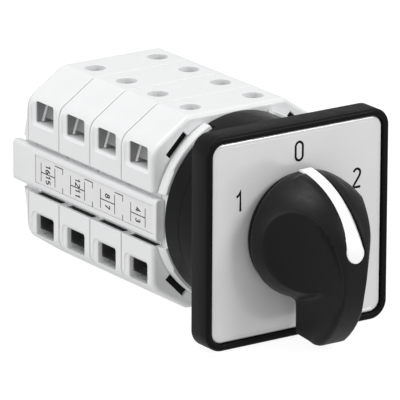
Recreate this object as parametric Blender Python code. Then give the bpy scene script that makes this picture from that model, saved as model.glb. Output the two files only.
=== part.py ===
"""Panel-mounted rotary cam changeover switch, positions 1-0-2, four poles in four chambers.

Millimetres are used for every named size, and MM turns them into metres.
Frame: X right seen from the front, Y towards the back of the panel, Z up.
The origin is on the shaft axis, in the plane where the front frame seats on the panel.
"""
import math

import bmesh
import bpy
from mathutils import Matrix, Vector

MM = 0.001

# Driving dimensions -----------------------------------------------------------------
GAP = 0.3                # clearance between neighbouring pieces
FRAME_HALF = 32.0        # standard 64 x 64 front
FRAME_FRONT = -8.1
FRAME_CORNER = 5.5
FRAME_CHAMFER = 0.7
POCKET_FLOOR = -6.0      # where the legend plate's recess ends
LEGEND_HALF = 29.85
LEGEND_FRONT = -7.26
LEGEND_CORNER = 3.6
SCREW_PITCH_HALF = 18.0  # 36 x 36 fixing pattern

KNOB_BACK = -7.6
KNOB_RADIUS = 17.6       # thin lip next to the legend plate
KNOB_LIP = 1.0
DOME_CENTRE = (0.0, -10.5, 0.0)
DOME_RADII = (18.6, 26.0, 18.9)
CREST_Y = -8.45          # centre of the crest's ellipse in the Y-Z plane
CREST_Z = -6.0
CREST_DEPTH = 28.9
CREST_UP = 25.3
CREST_DOWN = 29.5
TAIL_BOTTOM = -30.4
TAIL_BACK = -14.3
RIDGE_HALF = 4.6
SCOOP_CENTRE = (-14.0, -27.0, -1.5)
SCOOP_RADII = (6.3, 13.2, 15.5)
SCOOP_TURN = 37.0        # degrees from the side towards the front
KNOB_CENTRE = (0.0, -21.5, -8.0)

SHAFT_HALF = 3.5
SHAFT_FRONT = -22.0
SHAFT_BACK = 91.0

HOUSING_RADIUS = 28.4
HOUSING_BACK = 19.2
FLANGE_RADIUS = 29.0
FLANGE_FRONT = 19.5
FLANGE_BACK = 22.85

CHAMBERS = 4
STACK_FRONT = 23.0
CHAMBER_PITCH = 16.6
BODY_HALF_WIDTH = 29.7
BODY_HALF_HEIGHT = 29.3
SHOULDER_X = 17.2
SHOULDER_Z = 21.0
CHANNEL_HALF = 7.5       # groove along each side that takes the label holder
CHANNEL_FLOOR = 26.6
WALL = 2.2               # a chamber's front wall
WELL_X = 25.0
WELL_Z = 12.6
ENTRY_LOW = 14.1         # wire entries
ENTRY_HIGH = 22.0
ENTRY_HALF = 5.6
ENTRY_END = 8.0
DRIVER_X = 11.15         # screwdriver holes
DRIVER_RADIUS = 3.15
BOLT_Z = 22.6

CAM_RADIUS = 10.5
CAM_LIFT = 1.2           # contact travel over one 60 degree step
STEP = math.radians(60)
CONTACT_X = 16.1         # face of a fixed contact
CONTACT_OPEN = 1.6       # contact gap at position 0

COVER_BACK = 95.6
HOLDER_FACE = 29.7
HOLDER_HALF = 6.6
HOLDER_FRONT = 21.4
HOLDER_BACK = 98.2
LABEL_HALF = 4.2


# Materials --------------------------------------------------------------------------
def material(name, colour, roughness, metallic=0.0):
    mat = bpy.data.materials.new(name)
    mat.use_nodes = True
    shader = mat.node_tree.nodes["Principled BSDF"]
    shader.inputs["Base Color"].default_value = (*colour, 1.0)
    shader.inputs["Roughness"].default_value = roughness
    shader.inputs["Metallic"].default_value = metallic
    return mat


# Mesh building blocks ---------------------------------------------------------------
def new_object(name, bm, mat):
    """Turn a bmesh in millimetres into an object in metres."""
    bmesh.ops.scale(bm, vec=Vector((MM, MM, MM)), verts=bm.verts)
    bmesh.ops.recalc_face_normals(bm, faces=bm.faces)
    mesh = bpy.data.meshes.new(name)
    bm.to_mesh(mesh)
    bm.free()
    mesh.shade_smooth()
    mesh.set_sharp_from_angle(angle=math.radians(30))
    obj = bpy.data.objects.new(name, mesh)
    bpy.context.scene.collection.objects.link(obj)
    obj.data.materials.append(mat)
    return obj


def loft(rings):
    """Skin a closed solid through rings that have the same number of points."""
    bm = bmesh.new()
    loops = [[bm.verts.new(p) for p in ring] for ring in rings]
    count = len(loops[0])
    for low, high in zip(loops, loops[1:]):
        for i in range(count):
            j = (i + 1) % count
            bm.faces.new((low[i], low[j], high[j], high[i]))
    bm.faces.new(loops[0][::-1])
    bm.faces.new(loops[-1])
    return bm


def prism_y(outline, y0, y1):
    """Extrude an outline of (x, z) points along Y."""
    return loft([[(x, y, z) for x, z in outline] for y in (y0, y1)])


def prism_x(outline, x0, x1):
    """Extrude an outline of (y, z) points along X."""
    return loft([[(x, y, z) for y, z in outline] for x in (x0, x1)])


def box(x0, x1, y0, y1, z0, z1):
    return prism_y([(x0, z0), (x1, z0), (x1, z1), (x0, z1)], y0, y1)


def circle(radius, steps, centre=(0.0, 0.0)):
    angles = [2 * math.pi * i / steps for i in range(steps)]
    return [(centre[0] + radius * math.cos(a), centre[1] + radius * math.sin(a)) for a in angles]


def cylinder_y(radius, y0, y1, centre=(0.0, 0.0), steps=16):
    return prism_y(circle(radius, steps, centre), y0, y1)


def cylinder_z(radius, z0, z1, x, y, steps=16):
    return loft([[(px, py, z) for px, py in circle(radius, steps, (x, y))] for z in (z0, z1)])


def turned(profile, steps, centre=(0.0, 0.0)):
    """Stack of circles about an axis along Y, from (radius, y) pairs."""
    return loft([[(x, y, z) for x, z in circle(r, steps, centre)] for r, y in profile])


def rounded_square(half, corner, arc_steps=6):
    outline = []
    for quarter, (sx, sz) in enumerate(((1, 1), (-1, 1), (-1, -1), (1, -1))):
        for i in range(arc_steps + 1):
            a = math.pi / 2 * (quarter + i / arc_steps)
            outline.append((sx * (half - corner) + corner * math.cos(a),
                            sz * (half - corner) + corner * math.sin(a)))
    return outline


def octagon(inset=0.0):
    """Cross-section of the chamber stack."""
    x, z = BODY_HALF_WIDTH - inset, BODY_HALF_HEIGHT - inset
    sx, sz = SHOULDER_X - 0.35 * inset, SHOULDER_Z - 0.35 * inset
    return [(x, -sz), (x, sz), (sx, z), (-sx, z), (-x, sz), (-x, -sz), (-sx, -z), (sx, -z)]


def combine(obj, operation, shapes):
    """Apply Boolean operations with temporary solids and keep only the result."""
    for shape in shapes:
        tool = new_object("tool", shape, obj.data.materials[0])
        mod = obj.modifiers.new("boolean", "BOOLEAN")
        mod.operation = operation
        mod.solver = "EXACT"
        mod.object = tool
        evaluated = obj.evaluated_get(bpy.context.evaluated_depsgraph_get())
        result = bpy.data.meshes.new_from_object(evaluated)
        obj.modifiers.clear()
        obj.data = result
        bpy.data.objects.remove(tool)
    obj.data.shade_smooth()
    obj.data.set_sharp_from_angle(angle=math.radians(30))
    obj.data.name = obj.name
    return obj


def cut(obj, *shapes):
    return combine(obj, "DIFFERENCE", shapes)


def add(obj, *shapes):
    return combine(obj, "UNION", shapes)


def copy_of(obj, name, location=(0.0, 0.0, 0.0), turn=None):
    """A separate object that shares the mesh, placed in millimetres."""
    twin = bpy.data.objects.new(name, obj.data)
    bpy.context.scene.collection.objects.link(twin)
    twin.location = Vector(location) * MM
    if turn is not None:
        twin.rotation_euler = turn
    return twin


# Knob -------------------------------------------------------------------------------
def crest_level(z):
    """How far forward the crest of the knob stands at a height."""
    reach = CREST_UP if z > CREST_Z else CREST_DOWN
    return CREST_Y - CREST_DEPTH * math.sqrt(max(0.0, 1.0 - ((z - CREST_Z) / reach) ** 2))


def ellipsoid_depth(point, centre, radii):
    """Roughly signed distance to an ellipsoid, negative inside."""
    scaled = [(p - c) / r for p, c, r in zip(point, centre, radii)]
    length = math.sqrt(sum(s * s for s in scaled))
    return (length - 1.0) * min(radii)


def blend_union(a, b, width):
    h = max(width - abs(a - b), 0.0) / width
    return min(a, b) - h * h * width / 4


def knob_field(point):
    """Negative inside the knob: a dome, a grip ridge with a tail, and two thumb scoops."""
    x, y, z = point
    dome = ellipsoid_depth(point, DOME_CENTRE, DOME_RADII)
    dome = -blend_union(-dome, KNOB_BACK - KNOB_LIP - y, 3.0)
    reach = CREST_UP if z > CREST_Z else CREST_DOWN
    crest = (math.hypot((y - CREST_Y) / CREST_DEPTH, (z - CREST_Z) / reach) - 1.0) * 26.0
    side = abs(x) - (RIDGE_HALF + 0.03 * (y + 36.0))
    edge = 2.2
    corner = math.hypot(max(crest + edge, 0), max(side + edge, 0)) - edge
    ridge = max(corner, crest, side, TAIL_BOTTOM - z, y - TAIL_BACK)
    body = blend_union(dome, ridge, 2.0)
    turn = math.radians(SCOOP_TURN)
    for mirror in (1, -1):
        dx = mirror * x - SCOOP_CENTRE[0]
        dy = y - SCOOP_CENTRE[1]
        out = -dx * math.cos(turn) - dy * math.sin(turn)
        along = dx * math.sin(turn) - dy * math.cos(turn)
        scoop = ellipsoid_depth((out, along, z), (0, 0, SCOOP_CENTRE[2]), SCOOP_RADII)
        body = -blend_union(-body, scoop, 1.8)
    return body


def knob_surface(direction):
    """Distance from the knob's inner point to its skin along a direction."""
    def inside(reach):
        return knob_field([c + reach * d for c, d in zip(KNOB_CENTRE, direction)]) < 0

    high = 1.0
    while inside(high):
        high += 1.0
    low = high - 1.0
    for _ in range(12):
        middle = (low + high) / 2
        if inside(middle):
            low = middle
        else:
            high = middle
    return low


def knob_shell(around, rows):
    """The knob's skin as rings from its flat back to the front of the ridge."""
    rings = []
    cx, cy, cz = KNOB_CENTRE
    back = circle(KNOB_RADIUS, around)
    rings.append([(x, KNOB_BACK, z) for x, z in back])
    rings.append([(x, KNOB_BACK - KNOB_LIP, z) for x, z in back])
    foot = [(x, KNOB_BACK - KNOB_LIP - 0.1, z) for x, z in circle(KNOB_RADIUS - 0.4, around)]
    rings.append(foot)
    for row in range(1, rows):
        ring = []
        for x, y, z in foot:
            flat = math.hypot(x - cx, z - cz)
            start = math.atan2(y - cy, flat)
            tilt = start + (-math.pi / 2 - start) * row / rows
            across = math.cos(tilt) / flat
            direction = ((x - cx) * across, math.sin(tilt), (z - cz) * across)
            reach = knob_surface(direction)
            ring.append(tuple(c + reach * d for c, d in zip(KNOB_CENTRE, direction)))
        rings.append(ring)
    return loft(rings)


def crest_band(depth, extra, half_width, z_low, z_high, steps=14):
    """A slab that follows the crest, from extra above it to depth below it."""
    heights = [z_low + (z_high - z_low) * math.sin(math.pi / 2 * i / steps) for i in range(steps + 1)]
    outer, inner = [], []
    for z in heights:
        y = crest_level(z)
        normal = Vector(((y - CREST_Y) / CREST_DEPTH ** 2, (z - CREST_Z) / CREST_UP ** 2))
        normal.normalize()
        outer.append((y + extra * normal.x, z + extra * normal.y))
        inner.append((y - depth * normal.x, z - depth * normal.y))
    return prism_x(outer + inner[::-1], -half_width, half_width)


def keyhole(grow):
    """Outline of the indicator seen from the front: a tapered bar with a round lower end."""
    radius = 2.8 + grow
    top = 24.0
    arc = [math.radians(a) for a in range(40, -221, -26)]
    points = [(radius * math.cos(a), 0.1 + radius * math.sin(a)) for a in arc]
    return [(1.9 + grow, top)] + points + [(-1.9 - grow, top)]


def make_knob(black, white):
    knob = new_object("knob", knob_shell(72, 30), black)
    seat = cylinder_y(3.1, -40, -28.7, steps=14)
    hole = cylinder_y(1.9, -29, -20, steps=10)
    socket = box(-3.8, 3.8, -22.3, -5, -3.8, 3.8)
    groove = new_object("groove", crest_band(1.7, 3.0, 3.4, -3.6, 19.29), black)
    combine(groove, "INTERSECT", [prism_y(keyhole(GAP), -45, 0)])
    bm = bmesh.new()
    bm.from_mesh(groove.data)
    bmesh.ops.scale(bm, vec=Vector((1 / MM, 1 / MM, 1 / MM)), verts=bm.verts)
    bpy.data.objects.remove(groove)
    cut(knob, bm, seat, hole, socket)

    indicator = new_object("knob_indicator", crest_band(1.35, 0.15, 3.1, -3.2, 19.26), white)
    combine(indicator, "INTERSECT", [prism_y(keyhole(0.0), -45, 0)])
    add(indicator, cylinder_y(2.6, -35.4, -32.0, steps=14))


def make_knob_screw(steel):
    screw = turned([(2.7, -31.2), (2.8, -29.0), (1.5, -28.9), (1.5, -15.0)], 12)
    obj = new_object("knob_screw", screw, steel)
    cut(obj, box(-0.4, 0.4, -32, -30.4, -4, 4))


# Front ------------------------------------------------------------------------------
def panel_screw_places():
    return [(sx * SCREW_PITCH_HALF, sz * SCREW_PITCH_HALF) for sx in (-1, 1) for sz in (-1, 1)]


def make_front_frame(black):
    rings = []
    for inset, y in ((0.0, 0.0), (0.0, FRAME_FRONT + FRAME_CHAMFER), (FRAME_CHAMFER, FRAME_FRONT)):
        outline = rounded_square(FRAME_HALF - inset, FRAME_CORNER - inset)
        rings.append([(x, y, z) for x, z in outline])
    obj = new_object("front_frame", loft(rings), black)
    pocket = rounded_square(LEGEND_HALF + GAP, LEGEND_CORNER + GAP)
    cut(obj, prism_y(pocket, -10, POCKET_FLOOR), cylinder_y(12.0, -7, 1, steps=24))
    for place in panel_screw_places():
        cut(obj, cylinder_y(2.3, -7, 1, place, 12), cylinder_y(4.2, -7, -3.4, place, 12))


def make_legend_plate(silver):
    outline = rounded_square(LEGEND_HALF, LEGEND_CORNER)
    rings = [[(x, y, z) for x, z in outline] for y in (POCKET_FLOOR - GAP, LEGEND_FRONT)]
    obj = new_object("legend_plate", loft(rings), silver)
    cut(obj, cylinder_y(8.0, -9, -5, steps=20))


def make_panel_screws(steel):
    first = None
    for number, (x, z) in enumerate(panel_screw_places(), start=1):
        name = f"panel_screw_{number}"
        if first is None:
            shape = turned([(3.7, -5.9), (3.8, -3.8), (1.6, -3.7), (1.6, 12.0)], 12)
            first = new_object(name, shape, steel)
            cut(first, box(-0.5, 0.5, -7, -5.0, -5, 5))
            first.location = Vector((x, 0, z)) * MM
        else:
            copy_of(first, name, (x, 0, z))


def make_front_housing(black):
    profile = [(HOUSING_RADIUS, GAP), (HOUSING_RADIUS, 11.7), (HOUSING_RADIUS - 0.25, 11.8),
               (HOUSING_RADIUS - 0.25, HOUSING_BACK)]
    obj = new_object("front_housing", turned(profile, 64), black)
    cut(obj, cylinder_y(19.6, 3.4, 25, steps=32), cylinder_y(6.0, -1, 5, steps=20))
    for place in panel_screw_places():
        cut(obj, cylinder_y(1.9, -1, 13, place, 10))
    for z in (-BOLT_Z, BOLT_Z):
        cut(obj, cylinder_y(2.2, 7.5, 25, (0, z), 10))


def make_front_flange(white):
    profile = [(FLANGE_RADIUS - 0.7, FLANGE_FRONT), (FLANGE_RADIUS, FLANGE_FRONT + 1.4),
               (FLANGE_RADIUS, FLANGE_BACK)]
    obj = new_object("front_flange", turned(profile, 64), white)
    cut(obj, cylinder_y(7.4, 15, 25, steps=20))
    for side in (-1, 1):
        x0, x1 = sorted((side * CHANNEL_FLOOR, side * 35))
        cut(obj, box(x0, x1, 15, 25, -CHANNEL_HALF, CHANNEL_HALF))
        cut(obj, cylinder_y(2.2, 15, 25, (0, side * (BOLT_Z)), 10))


# Detent -----------------------------------------------------------------------------
def make_detent(steel, plastic):
    """Star wheel on the shaft, with two sprung rollers standing just clear of it."""
    outline = []
    for i in range(72):
        a = 2 * math.pi * i / 72
        r = 9.4 + 0.9 * math.cos(12 * a)
        outline.append((r * math.cos(a), r * math.sin(a)))
    wheel = new_object("detent_wheel", prism_y(outline, 7.0, 14.0), plastic)
    cut(wheel, box(-3.8, 3.8, 5, 16, -3.8, 3.8))
    for side, x in (("left", -1), ("right", 1)):
        roller = turned([(1.6, 6.6), (2.0, 7.0), (2.0, 14.0), (1.6, 14.4)], 14, (x * 12.6, 0))
        new_object(f"detent_roller_{side}", roller, steel)
        make_spring(f"detent_spring_{side}", x, steel)


def make_spring(name, side, steel):
    """Compression spring along X behind a roller."""
    turns, per_turn, wire, radius = 4, 9, 0.35, 1.9
    curve = bpy.data.curves.new(name, "CURVE")
    curve.dimensions = "3D"
    curve.bevel_depth = wire * MM
    curve.bevel_resolution = 1
    curve.use_fill_caps = True
    spline = curve.splines.new("POLY")
    count = turns * per_turn
    spline.points.add(count)
    for i in range(count + 1):
        a = 2 * math.pi * i / per_turn
        x = side * (15.3 + 3.5 * i / count)
        point = Vector((x, 10.5 + radius * math.cos(a), radius * math.sin(a))) * MM
        spline.points[i].co = (*point, 1.0)
    obj = bpy.data.objects.new(name, curve)
    bpy.context.scene.collection.objects.link(obj)
    curve.materials.append(steel)


# Contact chambers -------------------------------------------------------------------
def make_chambers(white):
    middle = CHAMBER_PITCH / 2
    top = CHAMBER_PITCH - GAP
    first = new_object("contact_chamber_1", prism_y(octagon(), GAP / 2, top + GAP / 2), white)
    cut(first, box(-WELL_X, WELL_X, WALL, 20, -WELL_Z, WELL_Z))
    cut(first, cylinder_y(7.0, -1, 20, steps=20))
    for sx in (-1, 1):
        x0, x1 = sorted((sx * CHANNEL_FLOOR, sx * 35))
        cut(first, box(x0, x1, -1, 20, -CHANNEL_HALF, CHANNEL_HALF))
        cut(first, cylinder_y(2.2, -1, 20, (0, sx * (BOLT_Z)), 10))
        for sz in (-1, 1):
            z0, z1 = sorted((sz * ENTRY_LOW, sz * ENTRY_HIGH))
            x0, x1 = sorted((sx * ENTRY_END, sx * 35))
            cut(first, box(x0, x1, middle - ENTRY_HALF, middle + ENTRY_HALF, z0, z1))
            z0, z1 = sorted((sz * (ENTRY_LOW + 2), sz * 33))
            cut(first, cylinder_z(DRIVER_RADIUS, z0, z1, sx * DRIVER_X, middle))
            x0, x1 = sorted((sx * 12.8, sx * 16.5))
            z0, z1 = sorted((sz * (WELL_Z - 1), sz * (ENTRY_LOW + 1)))
            cut(first, box(x0, x1, middle - 3.6, middle + 3.6, z0, z1))
            cut(first, latch_slot(sx, sz))
    first.location = Vector((0, STACK_FRONT, 0)) * MM
    for i in range(1, CHAMBERS):
        copy_of(first, f"contact_chamber_{i + 1}", (0, STACK_FRONT + i * CHAMBER_PITCH, 0))


def latch_slot(sx, sz):
    """Shallow slot across a corner of a chamber's front face."""
    half_length, half_width, reach = 4.3, 1.1, 30.4
    turn = math.radians(45)
    outline = []
    for u, v in ((-1, -1), (1, -1), (1, 1), (-1, 1)):
        along, out = u * half_length, reach + v * half_width
        x = out * math.cos(turn) - along * math.sin(turn)
        z = out * math.sin(turn) + along * math.cos(turn)
        outline.append((sx * x, sz * z))
    return prism_y(outline, -2, 1.7)


def cam_outline(steps=48):
    """Radius falls on one side and rises on the other, evenly over 60 degrees each way."""
    outline = []
    for i in range(steps):
        a = 2 * math.pi * i / steps
        from_left = math.atan2(math.sin(a), -math.cos(a))
        from_right = math.atan2(math.sin(a), math.cos(a))
        nearest = from_left if abs(from_left) < abs(from_right) else from_right
        share = max(-1.0, min(1.0, nearest / STEP))
        r = CAM_RADIUS - CAM_LIFT * share
        outline.append((r * math.cos(a), r * math.sin(a)))
    return outline


def make_cams(plastic):
    first = new_object("cam_1", prism_y(cam_outline(), 3.0, 13.0), plastic)
    hub = CHAMBER_PITCH - GAP
    add(first, cylinder_y(6.3, GAP, hub, steps=20))
    cut(first, box(-3.8, 3.8, -1, 20, -3.8, 3.8))
    first.location = Vector((0, STACK_FRONT, 0)) * MM
    for i in range(1, CHAMBERS):
        copy_of(first, f"cam_{i + 1}", (0, STACK_FRONT + i * CHAMBER_PITCH, 0))


def make_terminals(brass):
    """Fixed contact, clamp plate and clamp screw of one connection, for the upper right one."""
    middle = CHAMBER_PITCH / 2
    bar = box(8.5, 24.0, middle - 3.2, middle + 3.2, 14.5, 15.7)
    first = new_object("terminal_1", bar, brass)
    add(first, box(13.3, 15.1, middle - 3.0, middle + 3.0, 9.0, 15.2))
    add(first, box(15.0, CONTACT_X, middle - 2.4, middle + 2.4, 9.2, 11.6))
    plate = box(8.6, 25.0, middle - 4.4, middle + 4.4, 17.0, 18.1)
    bmesh.ops.rotate(plate, cent=(DRIVER_X, middle, 17.5), verts=plate.verts,
                     matrix=Matrix.Rotation(math.radians(-5), 3, "Y"))
    screw = loft([[(x, y, z) for x, y in circle(r, 12, (DRIVER_X, middle))]
                  for r, z in ((1.5, 15.0), (1.5, 20.3), (2.6, 20.4), (2.6, 23.0))])
    add(first, plate, screw)
    cut(first, box(DRIVER_X - 4, DRIVER_X + 4, middle - 0.4, middle + 0.4, 22.1, 25))
    first.location = Vector((0, STACK_FRONT, 0)) * MM
    number = 1
    for i in range(CHAMBERS):
        place = (0, STACK_FRONT + i * CHAMBER_PITCH, 0)
        for left in (False, True):
            for low in (False, True):
                if number > 1:
                    place_terminal(first, number, place, left, low)
                number += 1


def place_terminal(first, number, place, left, low):
    """Mirror images get their own mesh, so that no object carries a negative scale."""
    twin = copy_of(first, f"terminal_{number}", place)
    flip = Matrix.Diagonal((-1 if left else 1, 1, -1 if low else 1, 1))
    twin.data = first.data.copy()
    twin.data.transform(flip)
    if left != low:
        twin.data.flip_normals()


def make_bridges(copper):
    """Moving contact of one side with its plunger, for the right side at position 0."""
    middle = CHAMBER_PITCH / 2
    tip = CONTACT_X + CONTACT_OPEN
    plunger_start = CAM_RADIUS + 0.4
    bar = box(tip + 1.0, tip + 2.2, middle - 3.0, middle + 3.0, -11.4, 11.4)
    first = new_object("contact_bridge_1_right", bar, copper)
    add(first, box(plunger_start, 22.2, middle - 2.6, middle + 2.6, -2.0, 2.0))
    for sz in (-1, 1):
        z0, z1 = sorted((sz * 9.2, sz * 11.2))
        add(first, box(tip, tip + 1.5, middle - 2.4, middle + 2.4, z0, z1))
    first.location = Vector((0, STACK_FRONT, 0)) * MM
    for i in range(CHAMBERS):
        place = (0, STACK_FRONT + i * CHAMBER_PITCH, 0)
        if i > 0:
            copy_of(first, f"contact_bridge_{i + 1}_right", place)
        copy_of(first, f"contact_bridge_{i + 1}_left", place, (0.0, math.pi, 0.0))


# Rear and sides ---------------------------------------------------------------------
def make_shaft(steel):
    half = SHAFT_HALF
    obj = new_object("shaft", box(-half, half, SHAFT_FRONT, SHAFT_BACK, -half, half), steel)
    cut(obj, cylinder_y(1.9, -25, -11, steps=10))


def make_rear_cover(white):
    start = STACK_FRONT + CHAMBERS * CHAMBER_PITCH + GAP / 2
    rings = []
    for inset, y in ((0.0, start), (0.0, start + 2.0), (3.2, COVER_BACK)):
        rings.append([(x, y, z) for x, z in octagon(inset)])
    obj = new_object("rear_cover", loft(rings), white)
    cut(obj, cylinder_y(7.0, start - 1, start + 2.4, steps=20))
    for side in (-1, 1):
        x0, x1 = sorted((side * CHANNEL_FLOOR, side * 35))
        cut(obj, box(x0, x1, 80, 100, -CHANNEL_HALF, CHANNEL_HALF))
        place = (0, side * (BOLT_Z))
        cut(obj, cylinder_y(2.2, 80, 100, place, 10), cylinder_y(4.0, 92.4, 100, place, 14))


def make_tie_bolts(steel):
    for name, side in (("tie_bolt_lower", -1), ("tie_bolt_upper", 1)):
        place = (0, side * (BOLT_Z))
        shape = turned([(1.8, 9.0), (1.8, 92.6), (3.6, 92.7), (3.4, 95.0)], 12, place)
        obj = new_object(name, shape, steel)
        cut(obj, box(-0.4, 0.4, 94.2, 97, place[1] - 5, place[1] + 5))


def make_label_holders(white, paper):
    """Bars that slide into the side grooves and carry a printed strip each."""
    face, half = HOLDER_FACE, HOLDER_HALF
    back = CHANNEL_FLOOR + GAP
    section = [(back, -half), (face - 0.9, -half), (face, -half + 1.2),
               (face, half - 1.2), (face - 0.9, half), (back, half)]
    for name, side in (("left", -1), ("right", 1)):
        outline = [(side * x, z) for x, z in section]
        holder = new_object(f"label_holder_{name}", prism_y(outline, HOLDER_FRONT, HOLDER_BACK), white)
        x0, x1 = sorted((side * (face - 0.9), side * (face + 1)))
        cut(holder, box(x0, x1, 23.0, 90.0, -LABEL_HALF - GAP, LABEL_HALF + GAP))
        x0, x1 = sorted((side * (face - 0.6), side * (face - 0.2)))
        strip = box(x0, x1, 23.0 + GAP, 90.0 - GAP, -LABEL_HALF, LABEL_HALF)
        new_object(f"label_strip_{name}", strip, paper)


def clear_scene():
    for obj in list(bpy.data.objects):
        bpy.data.objects.remove(obj)


def main():
    clear_scene()
    black = material("black_plastic", (0.018, 0.018, 0.02), 0.42)
    white = material("white_plastic", (0.83, 0.83, 0.81), 0.45)
    bright = material("indicator_white", (0.9, 0.9, 0.9), 0.35)
    silver = material("legend_silver", (0.66, 0.66, 0.67), 0.4)
    paper = material("label_paper", (0.8, 0.8, 0.79), 0.6)
    steel = material("zinc_steel", (0.56, 0.57, 0.58), 0.35, 1.0)
    brass = material("terminal_metal", (0.5, 0.5, 0.5), 0.4, 1.0)
    copper = material("contact_copper", (0.72, 0.42, 0.28), 0.35, 1.0)
    cam_plastic = material("cam_plastic", (0.62, 0.6, 0.52), 0.5)
    make_knob(black, bright)
    make_knob_screw(steel)
    make_shaft(steel)
    make_front_frame(black)
    make_legend_plate(silver)
    make_panel_screws(steel)
    make_front_housing(black)
    make_front_flange(white)
    make_detent(steel, cam_plastic)
    make_chambers(white)
    make_cams(cam_plastic)
    make_terminals(brass)
    make_bridges(copper)
    make_rear_cover(white)
    make_tie_bolts(steel)
    make_label_holders(white, paper)


main()
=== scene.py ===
"""Looks of a rotary cam changeover switch: detailed pieces, materials, floor, light and camera.

Sizes are in millimetres and MM turns them into metres.  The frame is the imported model's:
X right seen from the front, Y towards the back of the panel, Z up, origin on the shaft axis.
"""
import math

import bmesh
import bpy
import numpy as np
from mathutils import Matrix, Vector


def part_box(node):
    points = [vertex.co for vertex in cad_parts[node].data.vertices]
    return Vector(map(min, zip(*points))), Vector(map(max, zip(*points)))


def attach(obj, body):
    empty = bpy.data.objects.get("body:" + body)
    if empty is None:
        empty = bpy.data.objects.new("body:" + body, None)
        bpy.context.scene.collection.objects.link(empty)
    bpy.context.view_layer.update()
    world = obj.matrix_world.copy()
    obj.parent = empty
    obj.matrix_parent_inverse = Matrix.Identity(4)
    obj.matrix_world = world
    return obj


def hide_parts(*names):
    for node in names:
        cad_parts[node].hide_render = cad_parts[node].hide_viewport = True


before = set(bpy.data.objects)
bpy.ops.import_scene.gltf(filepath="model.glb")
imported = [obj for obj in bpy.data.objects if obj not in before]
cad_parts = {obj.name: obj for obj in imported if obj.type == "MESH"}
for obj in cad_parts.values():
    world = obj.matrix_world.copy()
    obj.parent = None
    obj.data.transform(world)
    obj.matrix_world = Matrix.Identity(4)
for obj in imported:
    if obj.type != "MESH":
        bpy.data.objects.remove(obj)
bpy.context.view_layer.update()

MM = 0.001


def span(node):
    """Lowest and highest corner of a CAD node, in millimetres."""
    low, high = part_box(node)
    return Vector(low) / MM, Vector(high) / MM


# Driving dimensions -----------------------------------------------------------------
FRAME_LOW, FRAME_HIGH = span("front_frame")
LEGEND_LOW, LEGEND_HIGH = span("legend_plate")
HOUSING_LOW, HOUSING_HIGH = span("front_housing")
FLANGE_LOW, FLANGE_HIGH = span("front_flange")
CHAMBER_LOW, CHAMBER_HIGH = span("contact_chamber_1")
COVER_LOW, COVER_HIGH = span("rear_cover")
HOLDER_LOW, HOLDER_HIGH = span("label_holder_right")
STRIP_LOW, STRIP_HIGH = span("label_strip_right")
KNOB_BACK = span("knob")[1].y

CHAMBERS = 4
PITCH = span("contact_chamber_2")[0].y - CHAMBER_LOW.y
STACK_FRONT = (CHAMBER_LOW.y + CHAMBER_HIGH.y - PITCH) / 2
FRAME_CORNER = 5.5
LEGEND_CORNER = 3.6
SHOULDER_X = 17.2          # where a chamber's flat top ends
SHOULDER_Z = 21.0          # where a chamber's flat side ends
CHANNEL_HALF = 8.1         # groove for the label holder
CHANNEL_FLOOR = 26.6
PRINT_PITCH = 15.95        # the printed strip is a little shorter than the stack
PRINT_SHORT = 4.2          # how much sooner it ends at the back
ENTRY_LOW = 14.2           # wire entries, inside their shallow recesses
ENTRY_HIGH = 20.8
ENTRY_HALF = 4.6
DRIVER_X = 11.15           # screwdriver holes
DRIVER_RADIUS = 3.15
BOLT_Z = 22.6
BOLT_HOLE = 2.2
BOLT_HEAD_HOLE = 4.0
SHAFT_HOLE = 7.0
PANEL_SCREW_PLACE = 18.0   # in X and in Z
PANEL_SCREW_HOLE = 1.9
TAB_INNER = 25.6           # black tabs of the housing that reach the first chamber
TAB_ANGLE = 22.0           # degrees each side of straight up or down
FLANGE_BORE = 7.4

KNOB_RADIUS = 17.6
KNOB_LIP = 1.0
DOME_CENTRE = (0.0, -10.5, 0.0)
DOME_RADII = (18.6, 26.0, 18.9)
CREST_Y = -8.45            # centre of the crest's ellipse in the Y-Z plane
CREST_Z = -6.0
CREST_DEPTH = 28.2
CREST_UP = 25.3
CREST_DOWN = 29.5
TAIL_BOTTOM = -30.4
TAIL_BACK = -14.3
RIDGE_HALF = 5.0           # half width of the grip
SCOOP_CENTRE = (-14.0, -27.2, -3.4)
SCOOP_RADII = (6.3, 12.2, 20.0)
SCOOP_STRETCH = 1.18       # how much longer its lower half is
SCOOP_LEAN = 24.0          # degrees that its long axis leans, lower end forwards
SCOOP_TURN = 37.0          # degrees from the side towards the front
KNOB_CENTRE = (0.0, -21.5, -8.0)   # inside the knob, where the rays start
BULB_Z = 0.6               # round lower end of the indicator
BULB_RADIUS = 3.25
INDICATOR_END = -10.9      # how far back its top end reaches

NUMERAL_HEIGHT = 5.75
NUMERAL_PLACES = {"0": (0.5, 23.5), "1": (-20.35, 11.75), "2": (21.1, 12.0)}
PRINT_LIFT = 0.05          # thickness of printed marks
MARK_HEIGHT = 2.35         # numbers on the label strip
MARK_SPREAD = 3.75         # from a pole's middle to its two bars


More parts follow.
